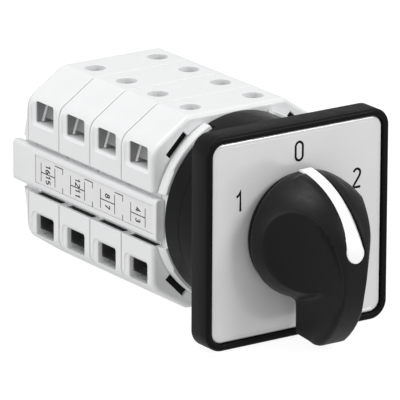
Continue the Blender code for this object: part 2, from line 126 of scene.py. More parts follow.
# Materials --------------------------------------------------------------------------
def surface(name, colour, roughness, metallic=0.0, speckle=0.04, grain=0.12, bump=0.03,
            wear=0.0, streak=(1, 1, 1), coat=0.0, specular=0.5):
    """Moulded or metal surface: mottled colour, uneven gloss, fine grain and paler worn edges.

    grain is the size of the surface texture in millimetres, and streak stretches it."""
    mat = bpy.data.materials.new(name)
    mat.use_nodes = True
    nodes = mat.node_tree.nodes
    link = mat.node_tree.links.new
    shader = nodes["Principled BSDF"]
    shader.inputs["Metallic"].default_value = metallic
    shader.inputs["Coat Weight"].default_value = coat
    shader.inputs["Specular IOR Level"].default_value = specular
    place = nodes.new("ShaderNodeTexCoord")
    stretch = nodes.new("ShaderNodeMapping")
    stretch.inputs["Scale"].default_value = streak
    link(place.outputs["Object"], stretch.inputs["Vector"])

    def noise(size, detail, source):
        node = nodes.new("ShaderNodeTexNoise")
        node.inputs["Scale"].default_value = 1.0 / (size * MM)
        node.inputs["Detail"].default_value = detail
        link(source, node.inputs["Vector"])
        return node.outputs["Fac"]

    def remap(value, low, high):
        node = nodes.new("ShaderNodeMapRange")
        node.inputs["From Min"].default_value = 0.3
        node.inputs["From Max"].default_value = 0.7
        node.inputs["To Min"].default_value = low
        node.inputs["To Max"].default_value = high
        link(value, node.inputs["Value"])
        return node.outputs["Result"]

    broad = noise(9.0, 3.0, place.outputs["Object"])
    tint = nodes.new("ShaderNodeMix")
    tint.data_type = "RGBA"
    tint.inputs["A"].default_value = (*[c * (1 - speckle) for c in colour], 1.0)
    tint.inputs["B"].default_value = (*[min(1.0, c * (1 + speckle)) for c in colour], 1.0)
    link(remap(broad, 0.0, 1.0), tint.inputs["Factor"])
    base = tint.outputs["Result"]
    if wear > 0:
        edge = nodes.new("ShaderNodeNewGeometry")
        rub = nodes.new("ShaderNodeMapRange")
        rub.inputs["From Min"].default_value = 0.52
        rub.inputs["From Max"].default_value = 0.62
        rub.inputs["To Max"].default_value = wear
        link(edge.outputs["Pointiness"], rub.inputs["Value"])
        worn = nodes.new("ShaderNodeMix")
        worn.data_type = "RGBA"
        worn.inputs["B"].default_value = (*[min(1.0, c * 1.6 + 0.02) for c in colour], 1.0)
        link(rub.outputs["Result"], worn.inputs["Factor"])
        link(base, worn.inputs["A"])
        base = worn.outputs["Result"]
    link(base, shader.inputs["Base Color"])
    uneven = noise(2.5, 4.0, stretch.outputs["Vector"])
    link(remap(uneven, roughness * 0.88, roughness * 1.12), shader.inputs["Roughness"])
    fine = noise(grain, 2.0, stretch.outputs["Vector"])
    relief = nodes.new("ShaderNodeBump")
    relief.inputs["Strength"].default_value = 0.5
    relief.inputs["Distance"].default_value = bump * MM
    link(fine, relief.inputs["Height"])
    link(relief.outputs["Normal"], shader.inputs["Normal"])
    return mat


def make_materials():
    return {
        "knob_black": surface("knob_black", (0.004, 0.004, 0.0043), 0.44, bump=0.012, grain=0.16, wear=0.12,
                              specular=0.24),
        "frame_black": surface("frame_black", (0.005, 0.005, 0.0053), 0.42, bump=0.02, grain=0.3,
                               streak=(1, 1, 0.12), wear=0.4, specular=0.1),
        "housing_black": surface("housing_black", (0.004, 0.004, 0.0043), 0.34, bump=0.014, grain=0.25,
                                 wear=0.3, specular=0.1),
        "white_moulding": surface("white_moulding", (0.835, 0.84, 0.845), 0.38, speckle=0.012, bump=0.008,
                                  grain=0.2),
        "insert_white": surface("insert_white", (0.97, 0.97, 0.97), 0.3, speckle=0.01, bump=0.004),
        "legend_silver": surface("legend_silver", (0.79, 0.79, 0.795), 0.24, speckle=0.012, bump=0.006,
                                 grain=0.12, metallic=0.15, coat=0.25),
        "label_paper": surface("label_paper", (0.80, 0.80, 0.80), 0.55, speckle=0.015, bump=0.006, grain=0.1),
        "ink": surface("ink", (0.006, 0.006, 0.006), 0.6, bump=0.002, specular=0.1),
        "zinc": surface("zinc", (0.60, 0.61, 0.62), 0.32, metallic=1.0, bump=0.01, grain=0.15,
                        streak=(1, 0.2, 1)),
        "clamp_metal": surface("clamp_metal", (0.30, 0.30, 0.305), 0.42, metallic=0.5, bump=0.015,
                               grain=0.25, speckle=0.08),
        # clamp metal darkened with painted shade, for metal deep in the lower wire entries
        "clamp_metal_in_painted_shade": surface("clamp_metal_in_painted_shade", (0.06, 0.06, 0.062), 0.5, metallic=0.3, bump=0.015,
                              grain=0.25, speckle=0.1),
        # paler copy of the clamp metal: a painted highlight for the light line inside the upper entries
        "metal_painted_highlight": surface("metal_painted_highlight", (0.75, 0.75, 0.75), 0.35, metallic=0.3, bump=0.004),
        "copper": surface("copper", (0.70, 0.40, 0.26), 0.33, metallic=1.0, bump=0.01, grain=0.2,
                          speckle=0.1),
        "cam_natural": surface("cam_natural", (0.60, 0.58, 0.50), 0.45, bump=0.01, speckle=0.03),
    }


# Mesh building blocks ---------------------------------------------------------------
def new_object(name, bm, mat):
    """Turn a bmesh in millimetres into an object in metres."""
    bmesh.ops.scale(bm, vec=Vector((MM, MM, MM)), verts=bm.verts)
    bmesh.ops.recalc_face_normals(bm, faces=bm.faces)
    mesh = bpy.data.meshes.new(name)
    bm.to_mesh(mesh)
    bm.free()
    mesh.shade_smooth()
    mesh.set_sharp_from_angle(angle=math.radians(32))
    obj = bpy.data.objects.new(name, mesh)
    bpy.context.scene.collection.objects.link(obj)
    obj.data.materials.append(mat)
    return obj


def loft(rings, closed=False):
    """Skin through rings with equal point counts.  closed joins the last ring to the first."""
    bm = bmesh.new()
    loops = [[bm.verts.new(p) for p in ring] for ring in rings]
    count = len(loops[0])
    pairs = list(zip(loops, loops[1:]))
    if closed:
        pairs.append((loops[-1], loops[0]))
    for low, high in pairs:
        for i in range(count):
            j = (i + 1) % count
            bm.faces.new((low[i], low[j], high[j], high[i]))
    if not closed:
        bm.faces.new(loops[0][::-1])
        bm.faces.new(loops[-1])
    return bm


def prism_y(outline, y0, y1):
    return loft([[(x, y, z) for x, z in outline] for y in (y0, y1)])


def prism_x(outline, x0, x1):
    return loft([[(x, y, z) for y, z in outline] for x in (x0, x1)])


def box(x0, x1, y0, y1, z0, z1):
    x0, x1 = sorted((x0, x1))
    z0, z1 = sorted((z0, z1))
    return prism_y([(x0, z0), (x1, z0), (x1, z1), (x0, z1)], y0, y1)


def circle(radius, steps, centre=(0.0, 0.0)):
    angles = [2 * math.pi * i / steps for i in range(steps)]
    return [(centre[0] + radius * math.cos(a), centre[1] + radius * math.sin(a)) for a in angles]


def cylinder_y(radius, y0, y1, centre=(0.0, 0.0), steps=48):
    return prism_y(circle(radius, steps, centre), y0, y1)


def cylinder_z(radius, z0, z1, x, y, steps=40):
    return loft([[(px, py, z) for px, py in circle(radius, steps, (x, y))] for z in sorted((z0, z1))])


def turned(profile, steps, centre=(0.0, 0.0), closed=False):
    """Circles about an axis along Y, from (radius, y) pairs."""
    return loft([[(x, y, z) for x, z in circle(r, steps, centre)] for r, y in profile], closed)


def fillet(centre_inset, centre_level, radius, start, end, steps=5):
    """Quarter round in a section, as (inset, level) pairs between two angles in degrees."""
    points = []
    for i in range(steps + 1):
        a = math.radians(start + (end - start) * i / steps)
        points.append((centre_inset + radius * math.cos(a), centre_level + radius * math.sin(a)))
    return points


def rounded_polygon(corners, radii, steps=7):
    """Outline with each corner of a counter-clockwise polygon rounded by its own radius."""
    outline = []
    count = len(corners)
    for i in range(count):
        here = Vector(corners[i])
        before = (Vector(corners[i - 1]) - here).normalized()
        after = (Vector(corners[(i + 1) % count]) - here).normalized()
        half = before.angle(after) / 2
        centre = here + (before + after).normalized() * radii[i] / math.sin(half)
        start = here + before * radii[i] / math.tan(half) - centre
        for k in range(steps + 1):
            turn = Matrix.Rotation((math.pi - 2 * half) * k / steps, 2)
            outline.append(tuple(centre + turn @ start))
    return outline


def rounded_square(half, corner, steps=12):
    return rounded_polygon([(half, -half), (half, half), (-half, half), (-half, -half)], [corner] * 4, steps)


def round_edges(obj, width, segments=2, angle=38):
    """Bevel the sharp edges of a finished solid."""
    bevel = obj.modifiers.new("edges", "BEVEL")
    bevel.width = width * MM
    bevel.segments = segments
    bevel.limit_method = "ANGLE"
    bevel.angle_limit = math.radians(angle)
    bevel.use_clamp_overlap = False
    bevel.harden_normals = True
    apply_modifiers(obj)


def apply_modifiers(obj):
    evaluated = obj.evaluated_get(bpy.context.evaluated_depsgraph_get())
    result = bpy.data.meshes.new_from_object(evaluated)
    obj.modifiers.clear()
    obj.data = result
    obj.data.name = obj.name


def combine(obj, operation, shapes):
    """Boolean operations with temporary solids."""
    for shape in shapes:
        tool = new_object("tool", shape, obj.data.materials[0])
        step = obj.modifiers.new("boolean", "BOOLEAN")
        step.operation = operation
        step.solver = "EXACT"
        step.object = tool
        apply_modifiers(obj)
        bpy.data.objects.remove(tool)
    obj.data.shade_smooth()
    obj.data.set_sharp_from_angle(angle=math.radians(32))
    return obj


def cut(obj, *shapes):
    return combine(obj, "DIFFERENCE", shapes)


def even_normals(obj):
    """Keep large flat faces flat in the shading next to rounded edges."""
    weigh = obj.modifiers.new("normals", "WEIGHTED_NORMAL")
    weigh.keep_sharp = True
    weigh.weight = 100
    apply_modifiers(obj)


def piece(obj, body, slot_name, *nodes):
    """Hand a finished piece to the frame."""
    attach(obj, body)
    if nodes:
        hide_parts(*nodes)
    return obj


# Knob -------------------------------------------------------------------------------
def blend_min(a, b, width):
    """Smaller of two depths, with a soft change over a width."""
    h = np.maximum(width - np.abs(a - b), 0.0) / width
    return np.minimum(a, b) - h * h * width / 4


def ellipsoid_depth(x, y, z, radii):
    """Rough distance from an ellipsoid about the origin, negative inside."""
    length = np.sqrt((x / radii[0]) ** 2 + (y / radii[1]) ** 2 + (z / radii[2]) ** 2)
    return (length - 1.0) * min(radii)


def knob_field(x, y, z):
    """Negative inside the knob: a dome, a grip ridge with a tail, and two thumb scoops."""
    back = KNOB_BACK
    dome = ellipsoid_depth(x - DOME_CENTRE[0], y - DOME_CENTRE[1], z - DOME_CENTRE[2], DOME_RADII)
    dome = -blend_min(-dome, back - KNOB_LIP - y, 3.0)
    reach = np.where(z > CREST_Z, CREST_UP, CREST_DOWN)
    crest = (np.hypot((y - CREST_Y) / CREST_DEPTH, (z - CREST_Z) / reach) - 1.0) * 26.0
    side = np.abs(x) - (RIDGE_HALF + 0.03 * (y + 36.0))
    edge = 1.8
    corner = np.hypot(np.maximum(crest + edge, 0), np.maximum(side + edge, 0)) - edge
    flats = -blend_min(z - TAIL_BOTTOM - 0.15 * (y + 27.0), TAIL_BACK - y, 1.2)
    ridge = np.maximum(np.maximum(corner, crest), side)
    ridge = -blend_min(-ridge, -flats, 1.0)
    body = blend_min(dome, ridge, 1.6)
    turn = math.radians(SCOOP_TURN)
    lean = math.radians(SCOOP_LEAN)
    for mirror in (1, -1):
        dx = mirror * x - SCOOP_CENTRE[0]
        dy = y - SCOOP_CENTRE[1]
        out = -dx * math.cos(turn) - dy * math.sin(turn)
        along = dx * math.sin(turn) - dy * math.cos(turn)
        dz = z - SCOOP_CENTRE[2]
        short = along * math.cos(lean) + dz * math.sin(lean)
        long = dz * math.cos(lean) - along * math.sin(lean)
        long = np.where(long < 0, long / SCOOP_STRETCH, long)
        scoop = ellipsoid_depth(out, short, long, SCOOP_RADII)
        body = -blend_min(-body, scoop, 0.55)
    return body


def knob_rings(around, rows):
    """Rings of points on the knob's skin, found along rays from a point inside it."""
    back = KNOB_BACK
    centre = np.array(KNOB_CENTRE)
    foot = np.array([(x, back - KNOB_LIP - 0.1, z) for x, z in circle(KNOB_RADIUS - 0.4, around)])
    flat = np.hypot(foot[:, 0] - centre[0], foot[:, 2] - centre[2])
    start = np.arctan2(foot[:, 1] - centre[1], flat)
    rings = []
    for row in range(1, rows):
        tilt = start + (-math.pi / 2 - start) * row / rows
        across = np.cos(tilt) / flat
        ray = np.stack([(foot[:, 0] - centre[0]) * across, np.sin(tilt),
                        (foot[:, 2] - centre[2]) * across], axis=1)
        steps = np.arange(1.0, 48.0, 0.5)
        samples = centre + ray[:, None, :] * steps[None, :, None]
        inside = knob_field(samples[..., 0], samples[..., 1], samples[..., 2]) < 0
        first_out = np.argmin(inside, axis=1)
        low = steps[first_out] - 0.5
        high = steps[first_out]
        for _ in range(14):
            middle = (low + high) / 2
            point = centre + ray * middle[:, None]
            within = knob_field(point[:, 0], point[:, 1], point[:, 2]) < 0
            low = np.where(within, middle, low)
            high = np.where(within, high, middle)
        rings.append([tuple(p) for p in centre + ray * low[:, None]])
    return foot, rings


def keyhole_half(z, grow=0.0):
    """Half width of the indicator at a height: a tapered bar that widens into a round bulb."""
    radius = BULB_RADIUS + grow
    below = BULB_Z - z
    if below > -1.2:
        return math.sqrt(max(0.0, radius ** 2 - below ** 2))
    share = min(1.0, (z - BULB_Z - 1.2) / 16.0)
    bar = 2.15 + 0.75 * (1 - share) ** 1.2 + grow
    neck = math.sqrt(radius ** 2 - 1.2 ** 2)
    settle = math.exp(-((z - BULB_Z - 1.2) / 2.2) ** 2)
    return bar + (neck - bar) * settle


def indicator_rings(grow, rise, depth, end_y, rounding):
    """Sections of the indicator from its lower end to its top, following the crest."""
    low = math.asin((BULB_Z - BULB_RADIUS - grow + 0.02 - CREST_Z) / CREST_UP)
    high = math.acos((CREST_Y - end_y) / CREST_DEPTH)
    rows, columns = 72, 14
    ends = [(CREST_Y - CREST_DEPTH * math.cos(a), CREST_Z + CREST_UP * math.sin(a)) for a in (low, high)]
    rings = []
    for i in range(rows + 1):
        a = low + (high - low) * (1 - math.cos(math.pi * i / rows)) / 2
        y, z = CREST_Y - CREST_DEPTH * math.cos(a), CREST_Z + CREST_UP * math.sin(a)
        half = keyhole_half(z, grow)
        normal = Vector((0, -math.cos(a) / CREST_DEPTH, math.sin(a) / CREST_UP)).normalized()
        at = Vector((0, y, z))
        to_end = math.hypot(y - ends[1][0], z - ends[1][1])
        ring = []
        for k in range(columns + 1):
            u = -math.cos(math.pi * k / columns)
            edge = min(half * (1 - abs(u)), to_end)
            drop = 0.0
            if edge < rounding:
                drop = rounding - math.sqrt(max(0.0, rounding ** 2 - (rounding - edge) ** 2))
            ring.append(tuple(at + normal * (rise - drop) + Vector((half * u, 0, 0))))
        for side in (1, -1):
            ring.append(tuple(at - normal * depth + Vector((half * side, 0, 0))))
        rings.append(ring)
    return rings


def make_knob(mats):
    """Knob with its groove, screw hole and shaft socket, and the white insert."""
    around, rows = ((320, 150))
    foot, skin = knob_rings(around, rows)
    back = KNOB_BACK
    rings = []
    for radius, y in ((KNOB_RADIUS - 0.3, back), (KNOB_RADIUS, back - 0.15), (KNOB_RADIUS, back - 0.75),
                      (KNOB_RADIUS - 0.08, back - 0.92), (KNOB_RADIUS - 0.3, back - KNOB_LIP)):
        rings.append([(x, y, z) for x, z in circle(radius, around)])
    rings.append([tuple(p) for p in foot])
    knob = new_object("knob_grip", loft(rings + skin), mats["knob_black"])
    groove = loft(indicator_rings(0.12, 3.0, 1.7, INDICATOR_END + 0.6, 0.01))
    cut(knob, groove, cylinder_y(1.9, -40, -20, steps=32), box(-3.8, 3.8, -22.3, -5, -3.8, 3.8))
    piece(knob, "rotor", "black_plastic", "knob")
    insert = loft(indicator_rings(0.0, 0.22, 1.3, INDICATOR_END, 0.4))
    insert = new_object("indicator_insert", insert, mats["insert_white"])
    piece(insert, "rotor", "indicator_white", "knob_indicator")


# Front ------------------------------------------------------------------------------
def toward_circle(outline, radius):
    """Points of a circle in the same directions as an outline's points."""
    return [tuple(Vector(p).normalized() * radius) for p in outline]


def make_frame(mats):
    """Square front frame with a pocket for the legend plate."""
    half = FRAME_HIGH.x
    front = FRAME_LOW.y
    pocket = LEGEND_HIGH.x + 0.2
    pocket_corner = LEGEND_CORNER + 0.2
    outer = rounded_square(half, FRAME_CORNER)
    rings = [[(x, FRAME_HIGH.y, z) for x, z in toward_circle(outer, 12.0)]]
    round_radius = 0.9
    section = [(0.35, FRAME_HIGH.y), (0.1, -0.1), (0.0, -0.35)]
    section += fillet(round_radius, front + round_radius, round_radius, 180, 270, 6)
    for inset, y in section:
        rings.append([(x, y, z) for x, z in rounded_square(half - inset, FRAME_CORNER - inset)])
    for grow, y in ((0.35, front), (0.1, front + 0.1), (0.0, front + 0.35), (0.0, LEGEND_HIGH.y + 0.1)):
        rings.append([(x, y, z) for x, z in rounded_square(pocket + grow, pocket_corner + grow)])
    rings.append([(x, LEGEND_HIGH.y + 0.1, z) for x, z in toward_circle(outer, 12.0)])
    obj = new_object("frame_moulding", loft(rings, closed=True), mats["frame_black"])
    piece(obj, "body", "black_plastic", "front_frame")


def make_legend(mats):
    """Legend plate with a rounded rim and a fine border line."""
    half = LEGEND_HIGH.x
    back, front = LEGEND_HIGH.y, LEGEND_LOW.y
    radius = 0.75
    outer = rounded_square(half, LEGEND_CORNER)
    rings = [[(x, back, z) for x, z in toward_circle(outer, 8.0)]]
    section = [(0.0, back)] + fillet(radius, front + radius, radius, 180, 270, 7)
    section += [(1.15, front), (1.22, front + 0.05), (1.36, front + 0.05), (1.43, front)]
    for inset, y in section:
        rings.append([(x, y, z) for x, z in rounded_square(half - inset, LEGEND_CORNER - inset)])
    rings.append([(x, front, z) for x, z in toward_circle(outer, 8.0)])
    plate = new_object("legend_face", loft(rings, closed=True), mats["legend_silver"])
    piece(plate, "body", "legend_silver", "legend_plate")
    make_numerals(mats, front)


def ribbon(points, width, closed=False):
    """Flat band of even width along a line of (x, z) points, as two edge lines."""
    left, right = [], []
    count = len(points)
    for i, point in enumerate(points):
        here = Vector(point)
        ahead = Vector(points[(i + 1) % count]) if closed or i < count - 1 else here
        behind = Vector(points[i - 1]) if closed or i > 0 else here
        first = (here - behind).normalized() if (here - behind).length > 0 else (ahead - here).normalized()
        second = (ahead - here).normalized() if (ahead - here).length > 0 else first
        along = (first + second).normalized()
        across = Vector((-along.y, along.x)) * width / 2 / max(0.4, along.dot(first))
        left.append(here + across)
        right.append(here - across)
    return left, right


def stroke(name, lines, width, lift, to_space, mat):
    """Printed lines: thin raised bands laid on a surface that to_space maps (u, v, height) to."""
    bm = bmesh.new()
    for points, closed in lines:
        left, right = ribbon(points, width, closed)
        rows = []
        for a, b in zip(left, right):
            rows.append([bm.verts.new(to_space(p.x, p.y, h)) for p, h in
                         ((a, 0), (a, lift), (b, lift), (b, 0))])
        pairs = list(zip(rows, rows[1:]))
        if closed:
            pairs.append((rows[-1], rows[0]))
        else:
            bm.faces.new(rows[0])
            bm.faces.new(rows[-1][::-1])
        for one, two in pairs:
            for k in range(4):
                m = (k + 1) % 4
                bm.faces.new((one[k], two[k], two[m], one[m]))
    return new_object(name, bm, mat)


def arc(cx, cy, rx, ry, start, end, steps=18):
    angles = [math.radians(start + (end - start) * i / steps) for i in range(steps + 1)]
    return [(cx + rx * math.cos(a), cy + ry * math.sin(a)) for a in angles]


def numeral(digit):
    """Centre lines of a plain numeral, one unit high and centred on the origin."""
    if digit == "0":
        return [(arc(0, 0.24, 0.22, 0.24, 0, 180, 14) + arc(0, -0.24, 0.22, 0.24, 180, 360, 14), True)]
    if digit == "1":
        return [([(-0.17, 0.26), (-0.02, 0.36), (0.06, 0.5), (0.06, -0.5)], False)]
    if digit == "2":
        return [(arc(0, 0.27, 0.2, 0.21, 165, -20, 14) + [(0.12, 0.05), (-0.2, -0.38), (-0.22, -0.48),
                                                          (0.22, -0.48)], False)]
    if digit == "3":
        return [(arc(0, 0.25, 0.19, 0.22, 150, -90, 12) + arc(0, -0.23, 0.21, 0.25, 90, -150, 12), False)]
    if digit == "4":
        return [([(0.1, -0.5), (0.1, 0.5), (-0.24, -0.2), (0.24, -0.2)], False)]
    if digit == "5":
        bowl = arc(0, -0.18, 0.21, 0.28, 110, -150, 14)
        return [([(0.19, 0.48), (-0.16, 0.48), (-0.19, 0.04)] + bowl, False)]
    if digit == "6":
        return [(arc(0, -0.22, 0.21, 0.26, 150, -210, 20) + [(-0.1, 0.25), (0.08, 0.5)], False)]
    if digit == "7":
        return [([(-0.21, 0.47), (0.21, 0.47), (-0.04, -0.5)], False)]
    if digit == "8":
        upper = arc(0, 0.25, 0.17, 0.22, -90, 270, 18)
        lower = arc(0, -0.23, 0.21, 0.25, 90, 450, 20)
        return [(upper, True), (lower, True)]
    return [(arc(0, 0.22, 0.21, 0.26, -30, 330, 20) + [(0.1, -0.25), (-0.08, -0.5)], False)]


def moved(lines, size, cx, cy):
    return [([(cx + size * x, cy + size * y) for x, y in points], closed) for points, closed in lines]


def make_numerals(mats, front):
    """Printed positions on the legend plate."""

    def on_plate(u, v, height):
        return (u, front + 0.02 - height, v)

    for digit, (x, z) in NUMERAL_PLACES.items():
        lines = moved(numeral(digit), NUMERAL_HEIGHT, x, z)
        obj = stroke(f"numeral_{digit}", lines, 0.72, PRINT_LIFT, on_plate, mats["ink"])
        piece(obj, "body", "black_plastic")


def make_housing(mats):
    """Round housing, with two tabs that reach back to the first chamber."""
    r = HOUSING_HIGH.x
    front, back = HOUSING_LOW.y, HOUSING_HIGH.y
    profile = [(6.0, front), (r - 0.4, front), (r - 0.1, front + 0.1), (r, front + 0.4), (r, 11.5),
               (r - 0.06, 11.65), (r - 0.3, 11.7), (r - 0.3, 11.85), (r - 0.15, 11.95), (r - 0.12, 12.1),
               (r - 0.12, back - 0.3), (r - 0.4, back), (19.6, back), (19.6, 3.4), (6.0, 3.4)]
    obj = new_object("housing_drum", turned(profile, 160, closed=True), mats["housing_black"])
    for sx in (-1, 1):
        for sz in (-1, 1):
            place = (sx * PANEL_SCREW_PLACE, sz * PANEL_SCREW_PLACE)
            cut(obj, cylinder_y(PANEL_SCREW_HOLE, -1, 13, place, 24))
    for z in (-BOLT_Z, BOLT_Z):
        cut(obj, cylinder_y(BOLT_HOLE, 7.5, 25, (0, z), 24))
    for up in (90, 270):
        outside = arc(0, 0, r - 0.12, r - 0.12, up - TAB_ANGLE, up + TAB_ANGLE, 20)
        inside = arc(0, 0, TAB_INNER, TAB_INNER, up + TAB_ANGLE, up - TAB_ANGLE, 20)
        combine(obj, "UNION", [prism_y(outside + inside, back - 1.0, FLANGE_HIGH.y - 0.1)])
    even_normals(obj)
    piece(obj, "body", "black_plastic", "front_housing")


def make_flange(mats):
    """Round flange: stepped rim at the sides, narrow at the top and bottom."""
    r = FLANGE_HIGH.z + 0.35
    narrow = TAB_INNER - 0.2
    front, back = FLANGE_LOW.y, FLANGE_HIGH.y
    steps = 192
    rings = []
    levels = [("bore", front), ("lip", front), ("chamfer", front), ("rim", front), ("rim", back - 0.15),
              ("soft", back), ("bore", back)]
    for kind, y in levels:
        ring = []
        for i in range(steps):
            a = 2 * math.pi * i / steps
            wide = abs(math.sin(a)) < 0.5
            rim = narrow if abs(math.sin(a)) > math.cos(math.radians(TAB_ANGLE + 0.5)) else r
            slope = 0.75 if wide else 0.3
            radius = {"bore": FLANGE_BORE, "lip": rim - slope, "chamfer": rim - slope * 0.55, "rim": rim,
                      "soft": rim - 0.15}[kind]
            level = y
            if kind == "chamfer":
                level = y + (0.45 if wide else 0.1)
            if kind == "rim" and y == front:
                level = y + (1.4 if wide else 0.35)
            ring.append((radius * math.cos(a), level, radius * math.sin(a)))
        rings.append(ring)
    obj = new_object("flange_ring", loft(rings, closed=True), mats["white_moulding"])
    for side in (-1, 1):
        cut(obj, box(side * CHANNEL_FLOOR, side * 35, 15, 25, -CHANNEL_HALF, CHANNEL_HALF))
        cut(obj, cylinder_y(BOLT_HOLE, 15, 25, (0, side * BOLT_Z), 24))
    round_edges(obj, 0.12)
    piece(obj, "body", "white_plastic", "front_flange")


# Contact chambers -------------------------------------------------------------------
def stack_outline(inset=0.0):
    """Cross-section of the stack: eight sides with rounded shoulders."""
    x, z = CHAMBER_HIGH.x - inset, CHAMBER_HIGH.z - inset
    sx, sz = SHOULDER_X - 0.35 * inset, SHOULDER_Z - 0.35 * inset
    corners = [(x, -sz), (x, sz), (sx, z), (-sx, z), (-x, sz), (-x, -sz), (-sx, -z), (sx, -z)]
    return rounded_polygon(corners, [5.0 - 0.4 * inset, 5.0 - 0.4 * inset, 3.0, 3.0] * 2, 7)


def chamber_block(front_round):
    """A chamber's outer shape in its own coordinates, from y 0 to the pitch."""
    low, high = CHAMBER_LOW.y - STACK_FRONT, CHAMBER_HIGH.y - STACK_FRONT
    section = fillet(front_round, low + front_round, front_round, 270, 180, 5)
    section += [(0.0, high - 0.15), (0.15, high)]
    rings = []
    for inset, y in section:
        rings.append([(x, y, z) for x, z in stack_outline(inset)])
    return loft(rings)


def latch_outline(sx, sz, grow):
    """Outline of the latch slot across a corner of a chamber's front face."""
    half_length, half_width, reach = 4.3 + grow, 1.15 + grow, 30.0
    turn = math.radians(45)
    outline = []
    for u, v in ((-1, -1), (1, -1), (1, 1), (-1, 1)):
        along, out = u * half_length, reach + v * half_width
        x = out * math.cos(turn) - along * math.sin(turn)
        z = out * math.sin(turn) + along * math.cos(turn)
        outline.append((sx * x, sz * z))
    return outline


def entry_outline(sz, middle, half, low, high, corner):
    """Rounded rectangle in the Y-Z plane, above the axis or below it."""
    front, rear = middle - half, middle + half
    outline = rounded_polygon([(front, low), (rear, low), (rear, high), (front, high)], [corner] * 4, 5)
    return [(y, sz * z) for y, z in outline]


def wire_entry(sx, sz, middle):
    """Wire entry inside a shallow recess with a rounded rim, cut in from the side."""
    face = CHAMBER_HIGH.x
    mouth = entry_outline(sz, middle, 6.6, 13.2, 24.5, 2.2)
    floor = entry_outline(sz, middle, 6.3, 13.5, 24.2, 1.9)
    lip = entry_outline(sz, middle, ENTRY_HALF + 0.35, ENTRY_LOW - 0.3, ENTRY_HIGH + 0.35, 1.0)
    throat = entry_outline(sz, middle, ENTRY_HALF, ENTRY_LOW, ENTRY_HIGH, 0.7)
    rings = []
    for x, outline in ((face + 3.0, mouth), (face - 0.1, mouth), (face - 0.4, floor), (face - 0.42, lip),
                       (face - 0.8, throat), (8.0, throat)):
        rings.append([(sx * x, y, z) for y, z in outline])
    return loft(rings)


def make_chamber(name, front_round, mats):
    """One contact chamber in its own coordinates, with holes, grooves, slots and entries."""
    middle = PITCH / 2
    obj = new_object(name, chamber_block(front_round), mats["white_moulding"])
    cut(obj, box(-25, 25, 2.2, 20, -12.6, 12.6), cylinder_y(SHAFT_HOLE, -1, 20, steps=40))
    for sx in (-1, 1):
        cut(obj, box(sx * CHANNEL_FLOOR, sx * 35, -1, 20, -CHANNEL_HALF, CHANNEL_HALF))
        # pocket in the groove's lower wall that holds the dark strip of painted shade under the label bar
        cut(obj, box(sx * 26.0, sx * 28.35, 0.9, PITCH - 2.6, -CHANNEL_HALF - 1.3, -CHANNEL_HALF + 0.1))
        cut(obj, cylinder_y(BOLT_HOLE, -1, 20, (0, sx * BOLT_Z), 24))
        for sz in (-1, 1):
            cut(obj, cylinder_z(DRIVER_RADIUS, sz * (ENTRY_LOW + 2), sz * 33, sx * DRIVER_X, middle))
            cut(obj, box(sx * 12.8, sx * 16.5, middle - MARK_SPREAD, middle + 3.6, sz * 11.6, sz * 15.1))
            cut(obj, prism_y(latch_outline(sx, sz, 0.0), -2, 6.0))
    round_edges(obj, 0.18)
    for sx in (-1, 1):
        for sz in (-1, 1):
            cut(obj, wire_entry(sx, sz, middle))
    even_normals(obj)
    return obj


def make_chambers(mats):
    first = make_chamber("chamber_1_moulding", 1.5, mats)
    second = make_chamber("chamber_2_moulding", 0.3, mats)
    for i in range(CHAMBERS):
        if i == 0:
            obj = first
        elif i == 1:
            obj = second
        else:
            obj = bpy.data.objects.new(f"chamber_{i + 1}_moulding", second.data)
            bpy.context.scene.collection.objects.link(obj)
        obj.location = Vector((0, STACK_FRONT + i * PITCH, 0)) * MM
        piece(obj, "body", "white_plastic", f"contact_chamber_{i + 1}")


def make_latches(mats):
    """Dark latch tongues that sit inside the slots of the first chamber."""
    for name, sx in (("left", -1), ("right", 1)):
        for level, sz in (("lower", -1), ("upper", 1)):
            tongue = prism_y(latch_outline(sx, sz, 0.3), STACK_FRONT + 1.1, STACK_FRONT + 3.0)
            tongue = new_object(f"latch_{level}_{name}", tongue, mats["housing_black"])
            round_edges(tongue, 0.1)
            piece(tongue, "body", "black_plastic")


def make_bar_clips(mats):
    """Dark strips in the lower wall of each groove, under the label bars: painted shade, dark pieces standing
    in for the shadow there.
    """
    for i in range(CHAMBERS):
        front = STACK_FRONT + i * PITCH
        for name, sx in (("left", -1), ("right", 1)):
            shade_strip = box(sx * 26.05, sx * 28.3, front + 0.95, front + PITCH - 2.65,
                       -CHANNEL_HALF - 1.25, -CHANNEL_HALF - 0.25)
            shade_strip = new_object(f"bar_shade_strip_{i + 1}_{name}", shade_strip, mats["housing_black"])
            round_edges(shade_strip, 0.15)
            piece(shade_strip, "body", "black_plastic")


def make_upper_guide(name, sx, middle, mats):
    """Sloping plate, side wall and rib that show inside an upper wire entry; the rib's pale metal is a
    painted highlight.
    """
    side_wall = prism_y([(sx * 29.0, 14.45), (sx * 27.3, 14.45), (sx * 25.3, 20.6), (sx * 29.0, 20.6)],
                        middle + 4.25, middle + 4.5)
    plate = prism_y([(sx * 27.0, 15.9), (sx * 26.6, 15.7), (sx * 24.9, 20.6), (sx * 25.3, 20.6)],
                    middle - 4.4, middle + 4.0)
    rib = prism_y([(sx * 27.65, 14.6), (sx * 27.1, 14.6), (sx * 25.1, 20.6), (sx * 25.65, 20.6)],
                  middle + 3.1, middle + 4.15)
    guide = new_object(f"guide_{name}_upper", side_wall, mats["clamp_metal"])
    combine(guide, "UNION", [plate])
    rib = new_object(f"rib_{name}", rib, mats["metal_painted_highlight"])
    round_edges(rib, 0.12)
    piece(rib, "body", "terminal_metal")
    round_edges(guide, 0.06)
    piece(guide, "body", "terminal_metal")


